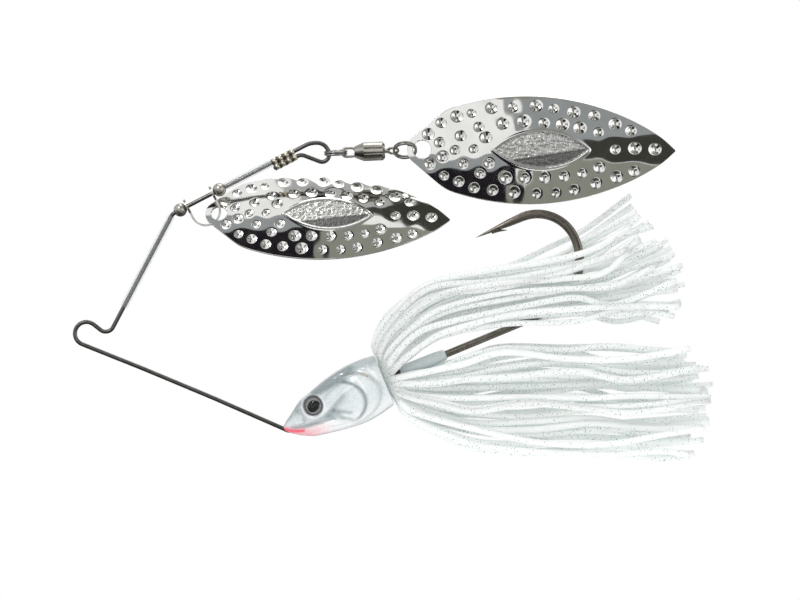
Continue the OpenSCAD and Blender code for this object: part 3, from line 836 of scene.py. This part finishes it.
# Strokes of painted highlight along the ridges, with how bright and how wide
GLINTS = (
    (0.9, 0.30, [(-6.4, 3.9), (-5.4, 2.9), (-4.6, 1.4), (-4.4, -0.7)]),
    (0.8, 0.24, [(-6.6, 1.5), (-8.1, 1.25), (-9.8, 0.7), (-11.8, -0.3), (-13.2, -1.1)]),
    (0.8, 0.28, [(-13.2, -1.1), (-16.0, -1.9), (-19.0, -2.2)]),
    (0.8, 0.30, [(-13.2, 1.9), (-11.0, 2.7), (-8.4, 3.5)]),
    (0.9, 0.30, [(-12.6, -2.2), (-11.4, -3.0), (-10.2, -3.6), (-9.0, -4.4)]),
    (0.9, 0.55, [(-18.4, -3.3), (-15.4, -3.6), (-12.6, -4.2)]),
    (0.7, 0.22, [(-19.9, 0.9), (-19.0, -0.5), (-19.2, -1.5), (-20.6, -1.3)]),
    (0.9, 0.35, [(-2.1, 3.6), (-1.3, 2.0), (-1.1, 0.8)]))
# Strokes of painted shade along the folds, with how grey and how wide
CREASE_SHADE = (
    (0.62, 0.75, [(-21.5, -2.1), (-17.5, -2.5), (-13.8, -2.6), (-11.6, -3.1)]),
    (0.50, 0.85, [(-9.2, 0.1), (-11.2, -0.9), (-13.4, -2.2)]),
    (0.42, 0.45, [(-12.1, -1.9), (-10.2, -2.9), (-8.9, -3.6)]),
    (0.42, 0.45, [(-11.0, -3.8), (-9.4, -5.0)]),
    (0.40, 0.70, [(-19.3, 1.0), (-18.6, -1.2)]),
    (0.35, 0.60, [(-7.6, 3.4), (-10.5, 2.6), (-13.0, 1.4)]))


def with_strokes(field, s, z, table):
    """A field plus amount * exp(-(distance / width)^2) for each stroke of a table."""
    for amount, width, stroke in table:
        field = field + amount * np.exp(-(from_stroke(s, z, stroke) / width) ** 2)
    return field


def head_surface(rows, cols):
    """The sculpted head, mm in the shank's frame: ovals whose middle, height and width run
    smoothly along the shank, pushed in and out by plates, grooves and folds drawn in side
    view on both flanks. Returns points and the amounts of paint, painted highlight and
    painted shade by attribute name."""
    u = np.linspace(0, 1, rows)
    s = -23.4 + 23.4 * (0.35 * u + 0.65 * u ** 1.25)
    curve = spline(HEAD_ROWS[None, :, 1:], 400)[0]
    where = np.interp(np.linspace(0, len(HEAD_ROWS) - 1, 400), np.arange(len(HEAD_ROWS)),
                      HEAD_ROWS[:, 0])
    mid, tall, wide = (np.interp(s, where, curve[:, k])[:, None] for k in range(3))
    a = np.linspace(0, 2 * math.pi, cols, endpoint=False)[None]
    s = s[:, None] * np.ones(cols)
    cy = np.sign(np.cos(a)) * np.abs(np.cos(a)) ** 0.92
    y = wide * cy
    z = mid + tall * np.sin(a)
    flank = smooth_step(np.abs(np.cos(a)), 0.12, 0.55) * np.ones((rows, 1))
    out = np.zeros_like(s)

    def plate(s0, z0, ra, rb, tilt, low, high, height):
        """Inside an oval the skin stands proud; it drops over a narrow edge."""
        c, n = math.cos(tilt * RAD), math.sin(tilt * RAD)
        p, q = (s - s0) * c + (z - z0) * n, -(s - s0) * n + (z - z0) * c
        r = np.sqrt((p / ra) ** 2 + (q / rb) ** 2)
        return height * (1 - smooth_step(r, low, high)), r

    cover, far = plate(-9.5, -0.9, 7.9, 5.3, 0, 0.94, 1.03, 0.30)
    cheek, near = plate(-11.0, -1.0, 5.75, 4.3, -8, 0.93, 1.06, 0.36)
    rear = smooth_step(s, -10.5, -7.0)
    out += cover * rear + cheek * (0.35 + 0.65 * rear)
    out -= 0.16 * np.exp(-((near - 1.06) / 0.05) ** 2) * rear
    out -= 0.14 * np.exp(-((far - 1.04) / 0.035) ** 2) * rear
    out = with_strokes(out, s, z, FOLDS)
    eye = np.hypot(s + 15.8, z - 0.73)
    out *= smooth_step(eye, 2.0, 2.9)
    out += 0.20 * np.exp(-((eye - 2.45) / 0.32) ** 2)
    socket = 1 - smooth_step(eye, 1.95, 2.2)
    fade = smooth_step(s, -23.4, -21.0) * smooth_step(-s, 0.0, 0.7)
    out = 1.8 * out * flank * fade
    lean = np.abs(cy) ** 0.8
    y = y + np.sign(y) * out * lean
    z = z + 0.45 * out * np.sin(a)
    y = y - np.sign(y) * 0.95 * socket * flank
    back = smooth_step(z - mid, 0.42 * tall, 0.86 * tall) \
        * (0.55 + 0.45 * smooth_step(s, -20, -12))
    # Painted shade: grey along the sunk line over the forehead, the plate edges and the
    # listed folds
    groove_shade = np.exp(-from_stroke(s, z, FOLDS[0][2]) ** 2)
    crease_shade = 0.80 * np.exp(-((near - 1.07) / 0.07) ** 2) * rear \
        + 0.30 * np.exp(-((far - 1.06) / 0.05) ** 2) * rear
    # Painted highlight round the eye's rim and along the ridges; the lower part of the head
    # is lightened too
    glint = 0.8 * np.exp(-((eye - 2.4) / 0.26) ** 2) \
        + 0.7 * smooth_step(-(z - mid), 0.25 * tall, 0.8 * tall)
    glint = with_strokes(glint, s, z, GLINTS)
    crease_shade = with_strokes(crease_shade, s, z, CREASE_SHADE)
    snout = 0.25 * smooth_step(-s, 15.5, 20) * smooth_step(z, -1.6, 0.4)
    # The shade attribute holds the grey back, the painted shade and a darker snout
    shade = np.clip(0.62 * back + 0.75 * groove_shade * flank + crease_shade * flank + snout, 0, 1)
    low = smooth_step(-(z - mid), 0.30 * tall, 0.75 * tall)
    front = 1 - smooth_step(s, -20.5, -12.0)
    lip = with_strokes(0, s, z, [(1, 0.55, [(-23.4, -1.6), (-21.8, -2.7), (-19.8, -3.4)])])
    throat = np.clip(np.maximum(0.55 * low * front, lip), 0, 1)
    speck = np.exp(-((far - 1.03) / 0.07) ** 2) * smooth_step(z, -2.6, -0.5) * rear * flank \
        * (1 - smooth_step(z, 3.4, 4.4))
    glint = np.clip(glint * flank, 0, 1)
    paint = {"shade": shade, "throat": throat, "speck": speck, "glint": glint}
    return np.stack([s, y, z], -1), paint


class SPINNERBAIT_OT_head(Piece, bpy.types.Operator):
    """Sculpt and paint the weighted fish head with its neck"""

    bl_idname = "spinnerbait.head"
    bl_label = "Head"

    def execute(self, context):
        points, paint = head_surface(230, 240)
        back = points[-1]
        centre = np.array([0.35, 0, 0])
        rim = [centre + (back - centre) * k + [step, 0, 0]
               for k, step in ((0.97, 0.12), (0.90, 0.16), (0.6, -0.1), (0.35, -0.2))]
        neck = [(-0.2, 1.5), (4.5, 1.46), (9.0, 1.42), (12.0, 1.36), (13.6, 1.2),
                (14.2, 1.02), (14.35, 0.8), (14.4, 0.05)]
        a = np.linspace(0, 2 * math.pi, points.shape[1], endpoint=False)
        rounds = [np.stack([np.full(a.shape, x), r * np.cos(a), r * np.sin(a)], -1)
                  for x, r in neck]
        tip = points[:1] * [1, 0.04, 1] + [-0.15, 0, 0]
        tip[..., 2] = -1.45 + (points[:1, :, 2] + 1.45) * 0.04
        skin = np.concatenate([tip, points, np.array(rim), np.array(rounds)])
        extra = len(rim) + len(rounds)
        obj = tubes("head_casting_sculpted", placed(skin, HEAD_AT, SHANK_ANGLE)[None])
        for name, values in paint.items():
            last = 0.25 if name == "shade" else 0.0
            after = np.full((extra, values.shape[1]), last)
            put_attribute(obj, name, np.concatenate([values[:1], values, after]))
        finish_piece(obj, "head", "frame", "pearl_paint", "head_casting")
        return {"FINISHED"}


def eye_place(points, side):
    """Points drawn on the XY plane with Z out of the skin, set in one side's socket, mm in
    the shank's frame: tipped to the flank, then turned with the head's taper."""
    x, y, z = np.moveaxis(leaned(points, -side * (90 - 10)), -1, 0)
    yaw = side * 13 * RAD
    x, y = x * math.cos(yaw) - y * math.sin(yaw), x * math.sin(yaw) + y * math.cos(yaw)
    return np.stack([x - 15.8, y + side * 3.5, z + 0.73], -1)


class SPINNERBAIT_OT_eyes(Piece, bpy.types.Operator):
    """Set the foil eyes under their clear domes"""

    bl_idname = "spinnerbait.eyes"
    bl_label = "Eyes"

    def execute(self, context):
        sides, rim_r, iris_r = 64, 2.0, 1.72
        radii = np.concatenate([[0.02], np.linspace(0.1, rim_r, 40)])
        a = np.linspace(0, 2 * math.pi, sides, endpoint=False)
        r = radii[:, None] * np.ones(sides)
        x, y = r * np.cos(a), r * np.sin(a)
        floor, rise, ball = -0.7, 0.46, 2.5
        top = floor + rise + 0.06 * (1 - (r / rim_r) ** 2)
        for side, name in ((-1, "near"), (1, "far")):
            turn = np.arctan2(y * -side, x)
            pupil = 1.36 + 0.12 * np.cos(2 * turn - 0.8) \
                - 0.24 * np.exp(-((turn - 0.9) / 0.45) ** 2)
            iris = 0.54 + 0.18 * (r - pupil) / (iris_r - pupil)
            rim = 0.76 + 0.24 * (r - iris_r) / (rim_r - iris_r)
            ring = np.where(r > iris_r, rim, np.where(r < pupil, 0.5 * r / pupil, iris))
            disc = np.stack([x, y, top], -1)
            wall = np.stack([x[-1], y[-1], np.full(sides, floor)], -1)[None]
            base = wall * [0.01, 0.01, 1]
            skin = np.concatenate([disc, wall, base])
            obj = tubes(name + "_eye_foil",
                        placed(eye_place(skin, side), HEAD_AT, SHANK_ANGLE)[None])
            put_attribute(obj, "ring", np.concatenate([ring, np.ones((2, sides))]))
            finish_piece(obj, "eye", "frame", "eye_silver", name + "_eye_disc")
            cap = np.stack([x, y, np.sqrt(ball ** 2 - r ** 2) - ball + 0.75], -1)
            rest = np.stack([x[-1], y[-1], np.full(sides, -0.25)], -1)[None]
            skin = np.concatenate([cap, rest, rest * [0.01, 0.01, 1]])
            obj = tubes(name + "_eye_lens",
                        placed(eye_place(skin, side), HEAD_AT, SHANK_ANGLE)[None])
            finish_piece(obj, "dome", "frame", "eye_dome", name + "_eye_dome")
        return {"FINISHED"}


def strand_paths(fan, count, drop, draw):
    """Control points of strands in the shank's frame, mm: from the collar out over the
    neck, back along the fan, to a spread of cut ends. t runs across the fan from its
    outer edge to its inner one, drawn by a sine into four loose clumps, and drop lowers
    the tips of an upper fan's outer strands."""
    t = (np.arange(count) + draw.uniform(0.1, 0.9, count)) / count
    t = t - 0.75 * np.sin(8 * math.pi * t) / (8 * math.pi)

    def jit(scale):
        return draw.uniform(-scale, scale, count)

    if fan == "upper":
        y = draw.uniform(0.2, 1.0, count)
        round_at = (84 - 80 * t) * RAD
        fall = drop * (1 - t)
        rows = [
            (0.5 + 0 * t, 1.9 * np.cos(round_at), 1.9 * np.sin(round_at)),
            (1.0 + 0.9 * t, 0.2 + 2.95 * np.cos(round_at), 4.4 - 3.9 * t),
            (1.3 + 4.2 * t, 1.2 + 2.0 * y + 0.9 * t, 8.2 - 6.1 * t),
            (6.8 + 5.2 * t, 1.5 + 3.0 * y, 12.5 - 9.0 * t + jit(0.4)),
            (17.5 + jit(1), 1.8 + 3.6 * y, 15.0 - 11.8 * t + jit(0.6)),
            (30 + jit(1), 2.0 + 3.9 * y, 13.2 - 12.0 * t - 0.2 * fall + jit(0.9)),
            (43 + jit(1), 2.1 + 4.0 * y, 11.6 - 14.6 * t - 0.7 * fall + jit(1.2)),
            (52 + jit(1), 2.2 + 4.0 * y, 12.3 - 18.6 * t - fall + jit(1.5)),
            (61.5 + 3.2 * np.sin(3 * t) + jit(3.2), 2.3 + 4.0 * y,
             15.0 - 25.4 * t - fall + jit(1.7))]
    else:
        side = np.where(np.arange(count) % 2, 1, -1)
        y = side * draw.uniform(0.05, 1.0, count)
        round_at = (-86 + 84 * t) * RAD
        rows = [
            (0.5 + 0 * t, 1.9 * side * np.cos(round_at), 1.9 * np.sin(round_at)),
            (1.0 + 0.9 * t, side * (0.2 + 2.95 * np.cos(round_at)), -4.6 + 4.3 * t),
            (1.9 + 4.2 * t, 3.0 * y + 0.6 * side, -9.3 + 8.5 * t),
            (6.6 + 5.0 * t, 4.0 * y, -14.8 + 12.9 * t + jit(0.4)),
            (14.0 + 3 * t, 4.6 * y, -21.2 + 18.8 * t + jit(0.6)),
            (26 + jit(1), 5.2 * y, -28.0 + 24.8 * t + jit(0.9)),
            (38 + jit(1), 5.6 * y, -33.0 + 25.2 * t + jit(1.2)),
            (48 + jit(1), 5.9 * y, -37.0 + 24.2 * t + jit(1.4)),
            (55.0 + 8.0 * np.sin(2.1 * t) + jit(2.6), 6.0 * y, -40.0 + 21.5 * t + jit(1.2))]
    return np.stack([np.stack(np.broadcast_arrays(*row), -1) for row in rows], 1)


def strand_rings(paths, width, draw):
    """Square-cut strands along the curves through the control points, each a little
    different in width and swayed by slow waves up and down and across."""
    line = spline(paths, 56)
    count = len(paths)
    u = np.linspace(0, 1, 56)[None]
    wave = 0.35 * np.sin(u * draw.uniform(5, 11, (count, 1)) + draw.uniform(0, 6, (count, 1)))
    line[..., 2] += wave * smooth_step(u, 0.1, 0.5)
    sway = 0.25 * np.cos(u * draw.uniform(4, 9, (count, 1)))
    line[..., 1] += sway * smooth_step(u, 0.2, 0.6)
    half = width / 2 * draw.uniform(0.80, 1.08, (count, 1)) \
        * (0.82 + 0.18 * smooth_step(u, 0, 0.3))
    return sweep(line, half * 0.78, half, 8, np.full(line.shape[:2], 0.62))


class SPINNERBAIT_OT_skirt(Piece, bpy.types.Operator):
    """Hang the silicone skirt in its three bunches"""

    bl_idname = "spinnerbait.skirt"
    bl_label = "Skirt"

    def execute(self, context):
        skirt = settings()[2]
        width = skirt.width / MM
        for name, fan, side, count, drop, seed in (
                ("skirt_upper_near", "upper", -1, skirt.upper, 4.6, 11),
                ("skirt_upper_far", "upper", 1, skirt.upper, 0.0, 12),
                ("skirt_lower", "lower", 1, skirt.lower, 0.0, 13)):
            draw = np.random.default_rng(seed)
            paths = strand_paths(fan, count, drop, draw) * [1, side, 1]
            rings = strand_rings(paths, width, draw)
            obj = tubes(name + "_strands", placed(rings, HEAD_AT, SHANK_ANGLE))
            dense = draw.uniform(0, 1, (count, 1, 1))
            put_attribute(obj, "glitter", np.broadcast_to(dense, rings.shape[:3]))
            finish_piece(obj, "strand", "frame", "glitter_silicone", name)
        return {"FINISHED"}


# Studio -------------------------------------------------------------------------------------


def card(name, centre, size, facing, colour):
    """A flat panel of even brightness that only reflections see, size in metres."""
    w, h = size[0] / 2, size[1] / 2
    grid = np.array([[-w, -h, 0], [w, -h, 0], [w, h, 0], [-w, h, 0]], float)
    towards = (Vector(facing) - Vector(centre)).to_track_quat("Z", "Y").to_matrix()
    verts = grid @ np.array(towards).T + np.array(centre)
    obj = new_object(name, verts, [[0, 1, 2, 3]], smooth=False)
    f = Finish(name, (0, 0, 0), roughness=1.0, specular_ior_level=0.0,
               emission_color=(*colour, 1), emission_strength=1.0)
    obj.data.materials.append(f.material)
    obj.visible_camera = False
    obj.visible_shadow = False
    obj.visible_diffuse = False
    obj.visible_transmission = False


def white_room():
    """A white world, dimmer to diffuse light. Reflections see it fade down to a dark floor,
    with soft dark patches from a noise."""
    world = bpy.data.worlds.new("white_room")
    world.use_nodes = True
    sky = Shading(world.node_tree, "Background")
    ray, aim = sky.node("LightPath").outputs, sky.node("TexCoord").outputs["Generated"]
    height = sky.span(sky.node("SeparateXYZ", Vector=aim).outputs["Z"], -0.62, 0.10)
    fade = sky.ramp(height, (0.0, (0.13, 0.13, 0.12)), (1.0, (1, 1, 1)))
    cloud = sky.node("TexNoise", Vector=aim, Scale=2.4, Detail=1.0).outputs["Fac"]
    patch = sky.ramp(cloud, (0.42, (0.16, 0.16, 0.15)), (0.54, (1, 1, 1)))
    room = sky.mix(1.0, fade, patch, "MULTIPLY")
    sky.link(sky.mix(ray["Is Glossy Ray"], (1, 1, 1), room), "Color")
    sky.link(sky.span(ray["Is Diffuse Ray"], 0, 1, 1.0, 0.60), "Strength")
    return world


class SPINNERBAIT_OT_stage(Piece, bpy.types.Operator):
    """Set up the camera, the pale floor, the soft lights and the reflection cards"""

    bl_idname = "spinnerbait.stage"
    bl_label = "Studio"

    def execute(self, context):
        scene = bpy.context.scene
        scene.view_settings.view_transform = "Standard"
        centre = Vector((66.63 * MM, 0, 7.12 * MM))
        lens, sensor, width = 190.0, 36.0, 0.170
        camera = bpy.data.cameras.new("camera")
        camera.lens, camera.sensor_width = lens, sensor
        camera.clip_start, camera.clip_end = 0.01, 30
        view = bpy.data.objects.new("camera", camera)
        scene.collection.objects.link(view)
        view.location = centre + Vector((0, -width * lens / sensor, 0))
        view.rotation_euler = (math.pi / 2, 0, 0)
        scene.camera = view

        scene.world = white_room()

        n = np.linspace(-3, 3, 25)
        x, y = np.meshgrid(n, n, indexing="ij")
        floor = np.stack([x, y, -0.5 + 0 * x], -1)
        obj = new_object("floor", floor, quads(25, 25).tolist())
        f = Finish("pale_floor", (0.93, 0.93, 0.93), roughness=0.9,
                   emission_color=(1, 1, 1, 1), emission_strength=0.5)
        f.link(f.mix(f.noise(3, 2), (0.92, 0.92, 0.92), (0.95, 0.95, 0.95)), "Base Color")
        obj.data.materials.append(f.material)
        obj.visible_glossy = False

        for name, at, size, power in (
                ("key", (-0.35, -0.7, 0.75), 0.25, 2.6),
                ("top", (0.15, 0.15, 0.8), 0.5, 1.6),
                ("fill", (0.75, -0.8, 0.1), 0.5, 0.5)):
            light = bpy.data.lights.new(name, "AREA")
            light.size, light.energy = size, power
            lamp = bpy.data.objects.new(name, light)
            scene.collection.objects.link(lamp)
            lamp.location = at
            lamp.rotation_euler = (centre - Vector(at)).to_track_quat("-Z", "Y").to_euler()

        black, olive, grey = (0.012, 0.010, 0.014), (0.27, 0.275, 0.24), (0.32, 0.34, 0.35)
        soot, steel, white = (0.045, 0.045, 0.038), (0.46, 0.48, 0.48), (1.0, 1.0, 1.0)
        for name, az, el, wide, high, colour, reach in (
                ("card_low_left", -8.0, -17.0, 21.0, 22.0, black, 0.85),
                ("card_low_right", 13.0, -17.0, 20.5, 26.0, olive, 0.845),
                ("card_mid_left", -8.0, -3.5, 20.0, 7.0, grey, 0.85),
                ("card_right", 11.5, 15.0, 18.0, 36.0, grey, 0.85),
                ("card_right_dark", 14.5, 5.0, 13.0, 15.0, soot, 0.84),
                ("card_high_left", -9.0, 42.0, 19.0, 18.0, black, 0.85),
                ("card_high_right", 9.0, 42.5, 23.0, 21.0, olive, 0.845),
                ("card_high_grey", -9.5, 55.5, 17.0, 9.0, grey, 0.85),
                ("card_crown", 1.0, 76.0, 9.0, 30.0, steel, 0.85),
                ("card_crown_right", 11.0, 66.0, 13.0, 28.0, soot, 0.85),
                ("card_front", 0.0, -4.0, 44.0, 64.0, white, 0.90),
                ("card_above", 0.0, 62.0, 46.0, 68.0, white, 0.92)):
            a, e = az * RAD, el * RAD
            at = (centre.x + reach * math.sin(a), -reach * math.cos(a) * math.cos(e),
                  centre.z + reach * math.cos(a) * math.sin(e))
            size = [2 * reach * math.tan(angle / 2 * RAD) for angle in (wide, high)]
            card(name, at, size, centre, colour)
        return {"FINISHED"}


PIECES = (SPINNERBAIT_OT_finishes, SPINNERBAIT_OT_wire, SPINNERBAIT_OT_tubes,
          SPINNERBAIT_OT_blades, SPINNERBAIT_OT_rings, SPINNERBAIT_OT_hook,
          SPINNERBAIT_OT_head, SPINNERBAIT_OT_eyes, SPINNERBAIT_OT_skirt)


class SPINNERBAIT_PT_panel(bpy.types.Panel):
    """Lists the settings and the pieces in the sidebar"""

    bl_idname = "SPINNERBAIT_PT_panel"
    bl_label = "Spinnerbait"
    bl_space_type = "VIEW_3D"
    bl_region_type = "UI"
    bl_category = "Spinnerbait"

    def draw(self, context):
        for group in settings():
            box = self.layout.box()
            for name in group.__annotations__:
                box.prop(group, name)
        for piece in (SPINNERBAIT_OT_stage, *PIECES):
            self.layout.operator(piece.bl_idname)


GROUPS = {"spinnerbait_metal": SpinnerbaitMetal, "spinnerbait_head": SpinnerbaitHead,
          "spinnerbait_skirt": SpinnerbaitSkirt}
CLASSES = (*GROUPS.values(), SPINNERBAIT_OT_stage, *PIECES, SPINNERBAIT_PT_panel)


def register():
    for cls in CLASSES:
        bpy.utils.register_class(cls)
    for name, group in GROUPS.items():
        setattr(bpy.types.Scene, name, bpy.props.PointerProperty(type=group))


def unregister():
    for name in GROUPS:
        delattr(bpy.types.Scene, name)
    for cls in reversed(CLASSES):
        bpy.utils.unregister_class(cls)


def main():
    register()
    for piece in (SPINNERBAIT_OT_stage, *PIECES):
        group, name = piece.bl_idname.split(".")
        if getattr(getattr(bpy.ops, group), name)() != {"FINISHED"}:
            raise RuntimeError(piece.bl_label + " wasn't finished")


if __name__ == "__main__":
    main()
